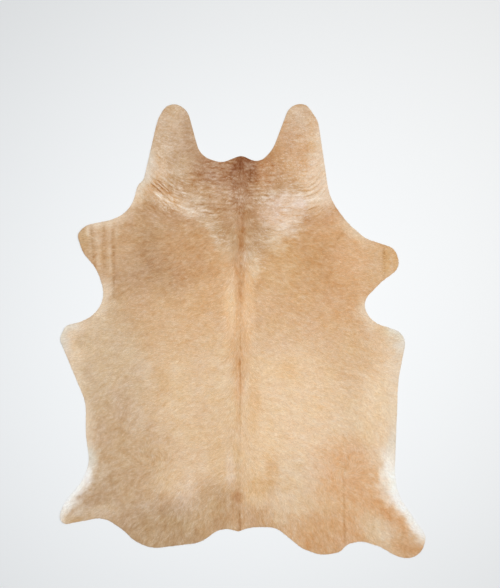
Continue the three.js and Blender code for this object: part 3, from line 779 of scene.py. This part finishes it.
def coat_colour(x, y):
    """The coat's sRGB tone at each place, with no single locks in it yet, and the share of white hairs."""
    wx = x + 13 * noise(x, y, 150, 150, 51) + 10 * noise(x, y, 50, 50, 52) + 6 * noise(x, y, 20, 20, 63)
    wy = y + 13 * noise(x, y, 150, 150, 53) + 10 * noise(x, y, 50, 50, 54) + 6 * noise(x, y, 20, 20, 64)
    colour = np.tile(np.array(TONES["sand"], float), (len(x), 1))

    def lay(tone, share):
        colour[:] += (np.array(TONES[tone], float) - colour) * share[:, None]

    for _, cx, cy, rx, ry, turn, tone, share, soft in COAT:
        # a small patch is warped less than a large one
        loose = min(1.0, min(rx, ry) / 90)
        px, py = x + (wx - x) * loose, y + (wy - y) * loose
        lay(tone, share * in_patch(px, py, cx, cy, rx, ry, turn, soft))
    rows = BACKBONE[::-1]
    ys = [r[0] for r in rows]
    middle = np.interp(y, ys, [r[1] for r in rows]) + 3 * noise(x, y, 80, 60, 55)
    half = np.interp(y, ys, [r[2] for r in rows]) * (1 + 0.25 * noise(x, y, 40, 70, 56))
    stripe = np.exp(-(((x - middle) / half) ** 2)) * np.interp(y, ys, [r[4] for r in rows])
    tones = np.stack([np.interp(y, ys, [TONES[r[3]][k] for r in rows]) for k in range(3)], 1)
    colour += (tones - colour) * stripe[:, None]

    d = sample(inward, x, y)
    ragged = 1 + 0.35 * noise(x, y, 26, 26, 57) + 0.2 * noise(x, y, 9, 9, 58)
    for _, cx, cy, rx, ry, wide, tone, share in PALE_EDGES:
        at = in_patch(x, y, cx, cy, rx, ry, 0, 1.0)
        lay(tone, share * at * smooth(1 - d / (wide * ragged)))

    white, golden = np.zeros(len(x)), np.zeros(len(x))
    for _, cx, cy, rx, ry, turn, more_white, more_gold in MARKS:
        loose = min(1.0, min(rx, ry) / 60)
        at = in_patch(x + (wx - x) * loose, y + (wy - y) * loose, cx, cy, rx, ry, turn, 1.0)
        white += more_white * at
        golden += more_gold * at

    troughs, creases, bare_and_shade, fine = relief_parts(x, y)
    level = collar_level(x, y)
    frost = np.zeros(len(x))
    for _, cx, cy, rx, ry, turn, share in ROAN:
        frost = np.maximum(frost, share * in_patch(wx, wy, cx, cy, rx, ry, turn, 1.0))
    flecks = 0.5 + 0.7 * noise(x, level, 40, 14, 60) + 0.7 * noise(x, level, 20, 7, 61) + 0.5 * noise(x, y, 60, 45, 62)
    white += frost * np.clip(flecks, -0.6, 1.6)
    # less white hair in the troughs of the wrinkles and creases and more on the ridges: partly the coat's own, partly
    # painted shade in the troughs and painted light on the ridges
    white -= 0.20 * np.clip(troughs / 1.4, 0, 1) + np.where(bare_and_shade > 0, 0.5, 0.8) * bare_and_shade
    in_neck = smooth((y - 480) / 120)
    # the fine wrinkles' standing fur whiter and their furrows darker: partly white hair tips, partly painted light on
    # the ridges and painted shade in the furrows
    white += fine * (0.24 + 0.6 * frost)
    # the coat lies smooth on the shoulders and wavier towards the rump
    wavy = 0.07 + 0.05 * smooth(-y / 300)
    white += in_neck * (0.07 * noise(x, level, 60, 20, 65) + 0.05 * noise(x, y, 16, 16, 66) - 0.05)
    white += ((0.14 + 0.07 * in_neck) * noise(x, y, 4.6, 4.6, 40) + (0.08 - 0.02 * in_neck) * noise(x, y, 9, 9, 67)
              + (1 - 0.6 * in_neck) * (0.05 * combed(x, y, 6, 14, 41) + wavy * combed(x, y, 10, 34, 42, 0.9))
              + (0.075 - 0.025 * in_neck) * noise(x, y, 22, 20, 43) + 0.030 * noise(x, y, 60, 75, 44) + 0.022 * noise(x, y, 70, 240, 45)
              + 0.025 * noise(x, y, 170, 190, 59))
    golden += 1.2 * noise(x, y, 16, 16, 46) + 1.2 * noise(x, y, 36, 40, 47) + 1.8 * noise(x, y, 95, 110, 48)
    colour = whiter(colour, white)
    # painted shadow between the tufts, with painted shade in the creases' troughs and painted light on their ridges
    shade = 2.4 * noise(x, y, 8, 8, 68) + 1.8 * noise(x, y, 15, 15, 69) + 1.6 * combed(x, y, 8, 18, 70)
    shade -= np.where(bare_and_shade > 0, 38, 10) * bare_and_shade
    colour += shade[:, None] * (0.9, 1.0, 1.1)
    colour += golden[:, None] * (0.2, 0.1, -1.0) + in_neck[:, None] * (0.5, -1.5, -1.0)
    return (colour * LIGHTER).clip(0, 250), (0.9 * frost).clip(0, 1)


# ---------------------------------------------------------------- meshes
def make_mesh(name, places, triangles, smooth_faces):
    mesh = bpy.data.meshes.new(name)
    mesh.vertices.add(len(places))
    mesh.vertices.foreach_set("co", (places * MM).astype(np.float32).ravel())
    mesh.loops.add(3 * len(triangles))
    mesh.loops.foreach_set("vertex_index", triangles.astype(np.int32).ravel())
    mesh.polygons.add(len(triangles))
    mesh.polygons.foreach_set("loop_start", np.arange(0, 3 * len(triangles), 3, dtype=np.int32))
    mesh.polygons.foreach_set("use_smooth", np.full(len(triangles), smooth_faces))
    mesh.update(calc_edges=True)
    mesh.validate()
    piece = bpy.data.objects.new(name, mesh)
    bpy.context.scene.collection.objects.link(piece)
    return piece


def paint(mesh, name, rgb):
    data = mesh.attributes.new(name, "FLOAT_COLOR", "POINT").data
    data.foreach_set("color", np.hstack([rgb, np.ones((len(rgb), 1))]).astype(np.float32).ravel())


def mark(mesh, name, values):
    mesh.attributes.new(name, "FLOAT", "POINT").data.foreach_set("value", values.astype(np.float32))


def lay_map(mesh, uv):
    layer = mesh.uv_layers.new(name="OFBake")
    layer.uv.foreach_set("vector", uv.astype(np.float32).ravel())


def scattered(step, seed, box=None):
    """Points in rows a step apart, every other row shifted, each moved a little at random."""
    x0, x1, y0, y1 = box or (-960, 960, -1180, 1180)
    rng = np.random.default_rng(seed)
    ys = np.arange(y0, y1, step * 0.866)
    xs = np.arange(x0, x1, step)
    px, py = np.meshgrid(xs, ys)
    px = px + (np.arange(len(ys)) % 2)[:, None] * step / 2
    px = px + rng.uniform(-0.28, 0.28, px.shape) * step
    py = py + rng.uniform(-0.28, 0.28, px.shape) * step
    return np.stack([px.ravel(), py.ravel()], 1)


def ring_inside(step, by):
    line = inset(evenly(outline, step), by)
    far = sample(inward, line[:, 0], line[:, 1])
    return line[far > by - 0.9]


def filled(rim, inner):
    """Triangles over the area inside the rim, through the inner points too."""
    points = np.vstack([rim, inner])
    found = delaunay_2d_cdt(
        [Vector(p) for p in points.tolist()], [], [list(range(len(rim)))], 0, 1e-7, True)
    if len(found[0]) != len(points):
        raise RuntimeError(f"points merged: {len(points)} to {len(found[0])}")
    order = np.array([ids[0] for ids in found[3]])
    inside = [face for face, within in zip(found[2], found[5]) if within]
    triangles = order[np.array(inside)]
    a, b, c = (points[triangles[:, k]] for k in range(3))
    turn = (b[:, 0] - a[:, 0]) * (c[:, 1] - a[:, 1]) - (b[:, 1] - a[:, 1]) * (c[:, 0] - a[:, 0])
    triangles[turn < 0] = triangles[turn < 0][:, ::-1]
    return points, triangles[np.abs(turn) > 1e-6]


def build_skin():
    rim = ring_inside(OUTLINE_STEP, CUT_IN)
    inner = [ring_inside(OUTLINE_STEP, CUT_IN + 1.6), ring_inside(5, CUT_IN + 5), ring_inside(6.5, CUT_IN + 10)]
    field = scattered(SKIN_STEP, 71)
    in_neck = (field[:, 1] > 560) & (field[:, 1] < 900)
    neck = scattered(NECK_STEP, 72, (-560, 480, 560, 900))
    for points in (field[~in_neck], neck):
        inner.append(points[sample(inward, points[:, 0], points[:, 1]) > CUT_IN + 13])
    top, top_faces = filled(rim, np.vstack(inner))
    under_points = scattered(FLESH_STEP, 73)
    under_inner = [ring_inside(9, CUT_IN + 7),
                   under_points[sample(inward, under_points[:, 0], under_points[:, 1]) > CUT_IN + 22]]
    under, under_faces = filled(rim, np.vstack(under_inner))

    x, y = top[:, 0], top[:, 1]
    z_top = skin_top(x, y)
    n = len(rim)
    z_top[:n] -= 0.15
    z_under = lift(under[:, 0], under[:, 1])
    places = np.vstack([
        np.column_stack([top, z_top]),
        np.column_stack([under, z_under]),
    ])
    first = len(top)
    k = np.arange(n)
    nxt = (k + 1) % n
    # rim goes anticlockwise, so an outward wall runs top, under, next under
    wall = np.vstack([
        np.column_stack([k, first + k, first + nxt]),
        np.column_stack([k, first + nxt, nxt]),
    ])
    faces = np.vstack([top_faces, first + under_faces[:, ::-1], wall])
    piece = make_mesh("hide_skin", places, faces, True)
    mesh = piece.data
    worn = np.concatenate([np.zeros(len(top_faces)), np.ones(len(under_faces)), np.full(len(wall), 2)]).astype(np.int32)
    mesh.polygons.foreach_set("material_index", worn)
    colour, roan = coat_colour(x, y)
    colour = whiter(colour, 0.3 * roan)
    rgb = np.vstack([linear(colour), np.tile(linear((205, 180, 150)), (len(under), 1))])
    paint(mesh, "coat", rgb)
    # map: the hair side fills the left four fifths, the flesh side and the cut edge the rest
    low, span = np.array([-915.0, -1137.0]), np.array([1830.0, 2274.0])
    unit = (places[:, :2] - low) / span
    corners = faces.ravel()
    uv = unit[corners] * (0.8, 1)
    below = np.repeat(worn > 0, 3)
    uv[below] = (0.81, 0) + unit[corners][below] * (0.18, 1)
    wall_corner = np.repeat(worn == 2, 3)
    along = np.zeros(len(places))
    along[:n] = along[first:first + n] = k / n
    edge_uv = np.column_stack([np.where(corners < first, 0.9995, 0.9925), along[corners] * 0.998 + 0.001])
    uv[wall_corner] = edge_uv[wall_corner]
    lay_map(mesh, uv)
    return piece


def root_places():
    """Places of the hair's roots: as many as the pieces hold, and twice as close in the neck."""
    wanted = 4 * LOCKS_A_PIECE
    step = 3.9
    for _ in range(4):
        body, neck = scattered(step, 81), scattered(step, 83, (-570, 480, 480, 1180))
        chance = np.random.default_rng(84).uniform(0, 1, len(neck))
        roots = np.vstack([body, neck[chance < smooth((neck[:, 1] - 500) / 90)]])
        roots = roots[sample(inward, roots[:, 0], roots[:, 1]) > CUT_IN + 0.3]
        step *= math.sqrt(len(roots) / wanted)
    keep = np.random.default_rng(82).permutation(len(roots))[:wanted]
    return roots[keep]


def shared_out(roots):
    """Four like numbers of roots: the front and the rear of each side."""
    by_x = np.argsort(roots[:, 0], kind="stable")
    half = len(roots) // 2
    parts = {}
    for side, chosen in (("left", by_x[:half]), ("right", by_x[half:])):
        by_y = chosen[np.argsort(-roots[chosen, 1], kind="stable")]
        cut = len(by_y) // 2
        parts["front_" + side] = by_y[:cut]
        parts["rear_" + side] = by_y[cut:]
    return parts


def build_locks(name, roots, seed):
    rng = np.random.default_rng(seed)
    # in rows from the front to the rear, each from left to right, for the map
    across = math.ceil(math.sqrt(len(roots)))
    by_y = np.argsort(-roots[:, 1], kind="stable")
    row = np.empty(len(roots), int)
    row[by_y] = np.arange(len(roots)) // across
    roots = roots[np.lexsort((roots[:, 0], row))]
    n = len(roots)
    x, y = roots[:, 0], roots[:, 1]

    way = sample(lie, x, y)
    in_neck = smooth((y - 520) / 90)
    turn = rng.normal(0, 0.24, n) + 0.36 * noise(x, y, 15, 15, 91)
    c, s = np.cos(turn), np.sin(turn)
    way = np.stack([way[:, 0] * c - way[:, 1] * s, way[:, 0] * s + way[:, 1] * c], 1)
    way /= np.linalg.norm(way, axis=1)[:, None]
    side = np.stack([-way[:, 1], way[:, 0]], 1)

    long = LOCK_LONG * rng.uniform(0.78, 1.2, n) * (1 - (1 - NECK_LOCK) * in_neck)
    long *= 1 - 0.15 * thinner(x)
    # hair that would reach far past the cut edge is shorter
    reach = OVERHANG * rng.uniform(-0.3, 1.0, n)
    d0 = sample(inward, x, y)
    for _ in range(2):
        tip = roots + way * long[:, None]
        d1 = sample(inward, tip[:, 0], tip[:, 1])
        share = np.where(d1 < -reach, (d0 + reach) / np.maximum(d0 - d1, 1e-6), 1)
        long = np.maximum(long * share.clip(0.05, 1), 4.0)
    tip = roots + way * long[:, None]
    bend = rng.normal(0, 0.04, n) * long
    tip += side * bend[:, None]
    ridge = roots + way * (0.42 * long)[:, None]
    wide = LOCK_WIDE * rng.uniform(0.8, 1.2, n)
    left = roots + side * (wide / 2)[:, None]
    right = roots - side * (wide / 2)[:, None]

    rise = rng.uniform(0.75, 1.25, n)
    z_root = skin_top(x, y) - 0.25
    z_ridge = skin_top(ridge[:, 0], ridge[:, 1]) + (0.5 + LOCK_HIGH * rise) * (1 - 0.25 * thinner(x))
    d_tip = sample(inward, tip[:, 0], tip[:, 1])
    on_skin = skin_top(tip[:, 0], tip[:, 1])
    z_tip = on_skin + (0.25 + 0.45 * rise) * (1 - 0.25 * thinner(x)) * np.clip(0.4 + long / LOCK_LONG, 0.5, 1)
    past = smooth((CUT_IN + 3 - d_tip) / 7)
    z_tip = z_tip * (1 - past) + past * (lift(tip[:, 0], tip[:, 1]) + 0.5 + 1.1 * rise)
    z_ridge = np.minimum(z_ridge, np.maximum(z_tip + 1.2, z_root + 0.6))

    places = np.empty((n, 4, 3))
    places[:, 0] = np.column_stack([left, z_root])
    places[:, 1] = np.column_stack([right, z_root])
    places[:, 2] = np.column_stack([ridge, z_ridge])
    places[:, 3] = np.column_stack([tip, z_tip])
    # left 0, right 1, ridge 2, tip 3: below and behind first, then the two sides that show
    faces = np.array([(0, 3, 1), (0, 1, 2), (0, 2, 3), (2, 1, 3)])
    triangles = (4 * np.arange(n)[:, None, None] + faces).reshape(-1, 3)
    piece = make_mesh(name, places.reshape(-1, 3), triangles, False)
    mesh = piece.data

    own = rng.normal(0, 1, n).clip(-2, 2)
    white, whiteness = rng.uniform(0, 1, n), rng.uniform(0.2, 0.6, n)
    mixed = 0.03 * rng.normal(0, 1, n).clip(-2, 2)
    ends = []
    for at in (roots, ridge, tip):
        colour, roan = coat_colour(at[:, 0], at[:, 1])
        colour = whiter(colour, mixed + np.where(white < roan, whiteness, 0))
        colour += (LOCK_VARIES * own)[:, None] * (0.75, 1.0, 1.2)
        ends.append(linear(colour.clip(0, 252)))
    rgb = np.stack([ends[0], ends[0], ends[1], ends[2]], 1)
    paint(mesh, "coat", rgb.reshape(-1, 3))
    mark(mesh, "along", np.tile([0, 0, 0.42, 1.0], n))
    mark(mesh, "across", np.tile([0, 1, 0.5, 0.5], n))
    mark(mesh, "lock", np.repeat(rng.uniform(0, 1, n), 4))

    cell = np.arange(n)
    corner = np.array([(0.08, 0.92), (0.08, 0.08), (0.42, 0.5), (0.92, 0.5)])
    origin = np.stack([cell % across, across - 1 - cell // across], 1)
    uv = (origin[:, None] + corner[None]) / across
    lay_map(mesh, uv.reshape(-1, 2)[triangles.ravel()])
    return piece


# ---------------------------------------------------------------- materials
def new_material(name):
    mat = bpy.data.materials.new(name)
    mat.use_nodes = True
    nt = mat.node_tree
    nt.nodes.clear()
    out = nt.nodes.new("ShaderNodeOutputMaterial")
    shader = nt.nodes.new("ShaderNodeBsdfPrincipled")
    nt.links.new(shader.outputs[0], out.inputs["Surface"])
    return mat, nt, shader


def node(nt, kind, inputs=(), **settings):
    made = nt.nodes.new(kind)
    for key, value in settings.items():
        setattr(made, key, value)
    for key, value in dict(inputs).items():
        if hasattr(value, "links"):
            nt.links.new(value, made.inputs[key])
        else:
            made.inputs[key].default_value = value
    return made


def maths(nt, operation, a, b, c=None):
    made = nt.nodes.new("ShaderNodeMath")
    made.operation = operation
    for i, value in enumerate((a, b, c)):
        if value is None:
            continue
        if hasattr(value, "links"):
            nt.links.new(value, made.inputs[i])
        else:
            made.inputs[i].default_value = value
    return made.outputs[0]


def by_factor(nt, colour, factor):
    """The colour times a number."""
    made = nt.nodes.new("ShaderNodeVectorMath")
    made.operation = "SCALE"
    nt.links.new(colour, made.inputs[0])
    nt.links.new(factor, made.inputs["Scale"])
    return made.outputs[0]


def hair_material():
    mat, nt, shader = new_material("hair_lying_flat")
    coat = node(nt, "ShaderNodeAttribute", attribute_name="coat", attribute_type="GEOMETRY")
    along = node(nt, "ShaderNodeAttribute", attribute_name="along", attribute_type="GEOMETRY")
    place = node(nt, "ShaderNodeTexCoord").outputs["Object"]
    # darker down at the root, lighter towards the tip
    shade = node(nt, "ShaderNodeMapRange", {"Value": along.outputs["Fac"], "To Min": 0.95, "To Max": 1.05})
    patchy = node(nt, "ShaderNodeTexNoise", {"Vector": place, "Scale": 60.0, "Detail": 3.0, "Roughness": 0.6})
    mottled = node(nt, "ShaderNodeMapRange", {"Value": patchy.outputs["Fac"], "From Min": 0.3, "From Max": 0.7,
                                             "To Min": 0.965, "To Max": 1.035})
    factor = maths(nt, "MULTIPLY", shade.outputs[0], mottled.outputs[0])
    # single hairs, side by side across the lock and running together at its tip
    across = node(nt, "ShaderNodeAttribute", attribute_name="across", attribute_type="GEOMETRY")
    lock = node(nt, "ShaderNodeAttribute", attribute_name="lock", attribute_type="GEOMETRY")
    strand_at = node(nt, "ShaderNodeCombineXYZ", {
        "X": maths(nt, "MULTIPLY_ADD", across.outputs["Fac"], 9.0, maths(nt, "MULTIPLY", lock.outputs["Fac"], 97.0)),
        "Y": maths(nt, "MULTIPLY", along.outputs["Fac"], 1.4),
        "Z": maths(nt, "MULTIPLY", lock.outputs["Fac"], 53.0)})
    strands = node(nt, "ShaderNodeTexNoise", {"Vector": strand_at.outputs[0], "Scale": 1.0, "Detail": 2.0,
                                             "Roughness": 0.6})
    streaks = node(nt, "ShaderNodeMapRange", {"Value": strands.outputs["Fac"], "From Min": 0.3, "From Max": 0.7,
                                             "To Min": 0.86, "To Max": 1.13})
    factor = maths(nt, "MULTIPLY", factor, streaks.outputs[0])
    nt.links.new(by_factor(nt, coat.outputs["Color"], factor), shader.inputs["Base Color"])
    sheen = node(nt, "ShaderNodeTexNoise", {"Vector": place, "Scale": 25.0, "Detail": 2.0})
    rough = node(nt, "ShaderNodeMapRange", {"Value": sheen.outputs["Fac"], "From Min": 0.3, "From Max": 0.7,
                                           "To Min": 0.52, "To Max": 0.68})
    nt.links.new(rough.outputs[0], shader.inputs["Roughness"])
    shader.inputs["Specular IOR Level"].default_value = 0.35
    shader.inputs["Sheen Weight"].default_value = 0.12
    shader.inputs["Sheen Roughness"].default_value = 0.45
    grain = node(nt, "ShaderNodeTexNoise", {"Vector": place, "Scale": 1400.0, "Detail": 2.0})
    bump = node(nt, "ShaderNodeBump", {"Height": grain.outputs["Fac"], "Strength": 0.12, "Distance": 0.0003})
    ribs = node(nt, "ShaderNodeBump", {"Height": strands.outputs["Fac"], "Strength": 0.35, "Distance": 0.0005,
                                       "Normal": bump.outputs[0]})
    nt.links.new(ribs.outputs[0], shader.inputs["Normal"])
    return mat


def underfur_material():
    mat, nt, shader = new_material("skin_under_the_hair")
    coat = node(nt, "ShaderNodeAttribute", attribute_name="coat", attribute_type="GEOMETRY")
    place = node(nt, "ShaderNodeTexCoord").outputs["Object"]
    fine = node(nt, "ShaderNodeTexNoise", {"Vector": place, "Scale": 420.0, "Detail": 4.0, "Roughness": 0.65})
    factor = node(nt, "ShaderNodeMapRange", {"Value": fine.outputs["Fac"], "From Min": 0.3, "From Max": 0.7,
                                            "To Min": 0.70, "To Max": 0.90})
    nt.links.new(by_factor(nt, coat.outputs["Color"], factor.outputs[0]), shader.inputs["Base Color"])
    shader.inputs["Roughness"].default_value = 0.75
    shader.inputs["Specular IOR Level"].default_value = 0.25
    bump = node(nt, "ShaderNodeBump", {"Height": fine.outputs["Fac"], "Strength": 0.5, "Distance": 0.0006})
    nt.links.new(bump.outputs[0], shader.inputs["Normal"])
    return mat


def flesh_material():
    """The flesh side: buffed, pale and a little blotchy, with a short nap."""
    mat, nt, shader = new_material("buffed_flesh_side")
    place = node(nt, "ShaderNodeTexCoord").outputs["Object"]
    cloud = node(nt, "ShaderNodeTexNoise", {"Vector": place, "Scale": 7.0, "Detail": 5.0, "Roughness": 0.55})
    ramp = node(nt, "ShaderNodeValToRGB", {"Fac": cloud.outputs["Fac"]})
    low, high = ramp.color_ramp.elements[0], ramp.color_ramp.elements[1]
    low.position, low.color = 0.32, (*linear((202, 180, 151)), 1)
    high.position, high.color = 0.68, (*linear((220, 201, 175)), 1)
    nap = node(nt, "ShaderNodeTexNoise", {"Vector": place, "Scale": 900.0, "Detail": 3.0, "Roughness": 0.7})
    factor = node(nt, "ShaderNodeMapRange", {"Value": nap.outputs["Fac"], "From Min": 0.3, "From Max": 0.7,
                                            "To Min": 0.9, "To Max": 1.06})
    nt.links.new(by_factor(nt, ramp.outputs["Color"], factor.outputs[0]), shader.inputs["Base Color"])
    shader.inputs["Roughness"].default_value = 0.92
    shader.inputs["Specular IOR Level"].default_value = 0.2
    shader.inputs["Sheen Weight"].default_value = 0.3
    shader.inputs["Sheen Roughness"].default_value = 0.5
    bump = node(nt, "ShaderNodeBump", {"Height": nap.outputs["Fac"], "Strength": 0.35, "Distance": 0.0004})
    nt.links.new(bump.outputs[0], shader.inputs["Normal"])
    return mat


def edge_material():
    """The knife's cut through the leather."""
    mat, nt, shader = new_material("cut_leather_edge")
    place = node(nt, "ShaderNodeTexCoord").outputs["Object"]
    grain = node(nt, "ShaderNodeTexNoise", {"Vector": place, "Scale": 700.0, "Detail": 3.0})
    ramp = node(nt, "ShaderNodeValToRGB", {"Fac": grain.outputs["Fac"]})
    low, high = ramp.color_ramp.elements[0], ramp.color_ramp.elements[1]
    low.position, low.color = 0.35, (*linear((176, 146, 112)), 1)
    high.position, high.color = 0.65, (*linear((210, 184, 150)), 1)
    nt.links.new(ramp.outputs["Color"], shader.inputs["Base Color"])
    shader.inputs["Roughness"].default_value = 0.8
    bump = node(nt, "ShaderNodeBump", {"Height": grain.outputs["Fac"], "Strength": 0.4, "Distance": 0.0003})
    nt.links.new(bump.outputs[0], shader.inputs["Normal"])
    return mat


# ---------------------------------------------------------------- the rug
skin = build_skin()
for material in (underfur_material(), flesh_material(), edge_material()):
    skin.data.materials.append(material)

hair = hair_material()
roots = root_places()
coats = []
for number, (part, chosen) in enumerate(shared_out(roots).items()):
    locks = build_locks("hair_" + part, roots[chosen], 100 + number)
    locks.data.materials.append(hair)
    coats.append(locks)

# ---------------------------------------------------------------- floor, light and camera
floor_mesh = bpy.data.meshes.new("floor")
half = 7.0
floor_mesh.from_pydata([(-half, -half, -0.0003), (half, -half, -0.0003), (half, half, -0.0003), (-half, half, -0.0003)],
                       [], [(0, 1, 2, 3)])
floor = bpy.data.objects.new("floor", floor_mesh)
bpy.context.scene.collection.objects.link(floor)
floor_paint, nt, shader = new_material("pale_floor")
shader.inputs["Base Color"].default_value = (0.838, 0.853, 0.862, 1)
shader.inputs["Roughness"].default_value = 0.75
shader.inputs["Specular IOR Level"].default_value = 0.15
floor_mesh.materials.append(floor_paint)


def soft_light(name, place, towards, size, power, colour=(1, 1, 1)):
    data = bpy.data.lights.new(name, "AREA")
    data.shape, data.size, data.energy, data.color = "SQUARE", size, power, colour
    lamp = bpy.data.objects.new(name, data)
    lamp.location = place
    lamp.rotation_euler = (Vector(towards) - Vector(place)).to_track_quat("-Z", "Y").to_euler()
    bpy.context.scene.collection.objects.link(lamp)
    return lamp


soft_light("key", (3.6, 2.2, 4.4), (0.1, 0.1, 0), 2.2, 92, (1.0, 0.945, 0.88))
soft_light("overhead", (-0.15, -0.1, 4.15), (-0.15, -0.1, 0), 1.3, 126.5, (0.965, 0.98, 1.0))
world = bpy.data.worlds.new("studio")
bpy.context.scene.world = world
world.use_nodes = True
world.node_tree.nodes["Background"].inputs["Color"].default_value = (0.97, 0.985, 1.0, 1)
world.node_tree.nodes["Background"].inputs["Strength"].default_value = 0.26

camera_data = bpy.data.cameras.new("camera")
camera_data.lens = 50
camera_data.sensor_width = 36
camera = bpy.data.objects.new("camera", camera_data)
camera.location = (0.0365, 0.184, 4.069)
camera.rotation_euler = (0, 0, 0)
bpy.context.scene.collection.objects.link(camera)
bpy.context.scene.camera = camera
bpy.context.scene.view_settings.view_transform = "Standard"

# ---------------------------------------------------------------- what it is, in the frame
for piece in [skin, *coats]:
    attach(piece, "root")
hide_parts("hide")
